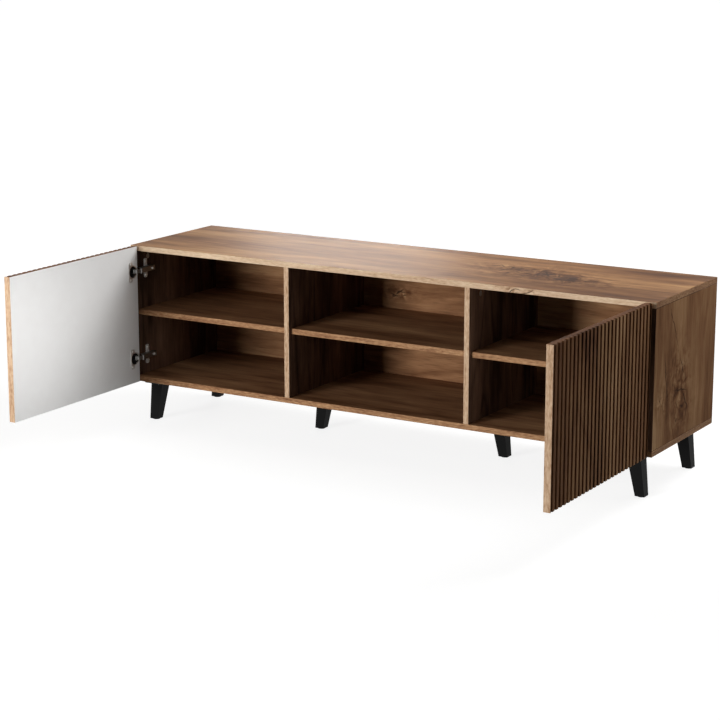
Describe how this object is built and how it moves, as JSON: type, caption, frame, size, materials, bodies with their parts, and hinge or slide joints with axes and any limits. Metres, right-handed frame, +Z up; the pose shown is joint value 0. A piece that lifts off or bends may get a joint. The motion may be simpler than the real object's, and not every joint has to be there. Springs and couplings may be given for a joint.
{
  "type": "television stand",
  "caption": "Low television stand with an open middle bay, two shelved side bays behind hinged fluted doors, and splayed black legs.",
  "frame": {"origin": "On the floor, midway between the carcass ends, and midway between the back of the carcass and the free edges of the doors as they stand open.", "axes": "+X runs along the stand to the right as seen from the front, +Y runs to the back, +Z is up."},
  "size_m": [1.6, 0.9524, 0.51],
  "materials": {
    "walnut_board": "chipboard faced with a matt melamine paper printed and embossed as knotty oak or walnut, with matching edge bands",
    "back_board": "thin hardboard with the same printed wood face, satin",
    "fluted_front": "milled fibreboard wrapped in matt printed wood foil",
    "white_laminate": "white melamine, fine pearl texture, satin",
    "black_lacquer": "beech turned square, black satin lacquer",
    "black_plastic": "moulded black nylon",
    "nickel_steel": "nickel-plated pressed steel",
    "zinc_casting": "zinc die casting, dull",
    "beech_dowel": "fluted beech dowel, unfinished"
  },
  "bodies": {
    "carcass": {"top_panel": "walnut_board", "bottom_panel": "walnut_board", "left_side_panel": "walnut_board", "right_side_panel": "walnut_board", "left_partition": "walnut_board", "right_partition": "walnut_board", "left_shelf": "walnut_board", "middle_shelf": "walnut_board", "right_shelf": "walnut_board", "left_back_sheet": "back_board", "middle_back_sheet": "back_board", "right_back_sheet": "back_board", "back_nails": "nickel_steel", "shelf_supports": "nickel_steel", "cam_housings": "zinc_casting", "cam_bolts": "nickel_steel", "dowels": "beech_dowel", "base_screws": "nickel_steel", "left_front_leg": "black_lacquer", "left_middle_leg": "black_lacquer", "left_rear_leg": "black_lacquer", "right_front_leg": "black_lacquer", "right_middle_leg": "black_lacquer", "right_rear_leg": "black_lacquer", "leg_plates": "black_plastic", "leg_plate_screws": "nickel_steel", "leg_bolts": "nickel_steel", "leg_glides": "black_plastic", "left_upper_hinge_arm": "nickel_steel", "left_lower_hinge_arm": "nickel_steel", "right_upper_hinge_arm": "nickel_steel", "right_lower_hinge_arm": "nickel_steel", "left_upper_mounting_plate": "nickel_steel", "left_lower_mounting_plate": "nickel_steel", "right_upper_mounting_plate": "nickel_steel", "right_lower_mounting_plate": "nickel_steel", "arm_pins": "nickel_steel", "mounting_plate_screws": "nickel_steel", "hinge_arm_screws": "nickel_steel"},
    "left_hinge_link": {"left_hinge_links": "nickel_steel"},
    "left_door_leaf": {"left_door": "fluted_front", "left_door_liner": "white_laminate", "left_upper_hinge_cup": "nickel_steel", "left_lower_hinge_cup": "nickel_steel", "left_cup_pins": "nickel_steel", "left_cup_screws": "nickel_steel"},
    "right_hinge_link": {"right_hinge_links": "nickel_steel"},
    "right_door_leaf": {"right_door": "fluted_front", "right_door_liner": "white_laminate", "right_upper_hinge_cup": "nickel_steel", "right_lower_hinge_cup": "nickel_steel", "right_cup_pins": "nickel_steel", "right_cup_screws": "nickel_steel"}
  },
  "joints": [
    {"name": "left_hinge_arm_pivot", "type": "hinge", "parent": "carcass", "child": "left_hinge_link", "pos_m": [-0.764, 0.07615, 0.314], "axis": [0, 0, 1], "range_deg": [-44.8, 5]},
    {"name": "left_door_hinge", "type": "hinge", "parent": "left_hinge_link", "child": "left_door_leaf", "pos_m": [-0.776, 0.05721, 0.314], "axis": [0, 0, 1], "range_deg": [-14.97, 134.76]},
    {"name": "right_hinge_arm_pivot", "type": "hinge", "parent": "carcass", "child": "right_hinge_link", "pos_m": [0.764, 0.07615, 0.314], "axis": [0, 0, 1], "range_deg": [-5, 44.8]},
    {"name": "right_door_hinge", "type": "hinge", "parent": "right_hinge_link", "child": "right_door_leaf", "pos_m": [0.776, 0.05721, 0.314], "axis": [0, 0, 1], "range_deg": [-134.76, 14.97]}
  ],
  "couplings": [
    {"joint": "left_hinge_arm_pivot", "follows": "left_door_hinge", "ratio": -0.33215},
    {"joint": "right_hinge_arm_pivot", "follows": "right_door_hinge", "ratio": -0.33215}
  ]
}
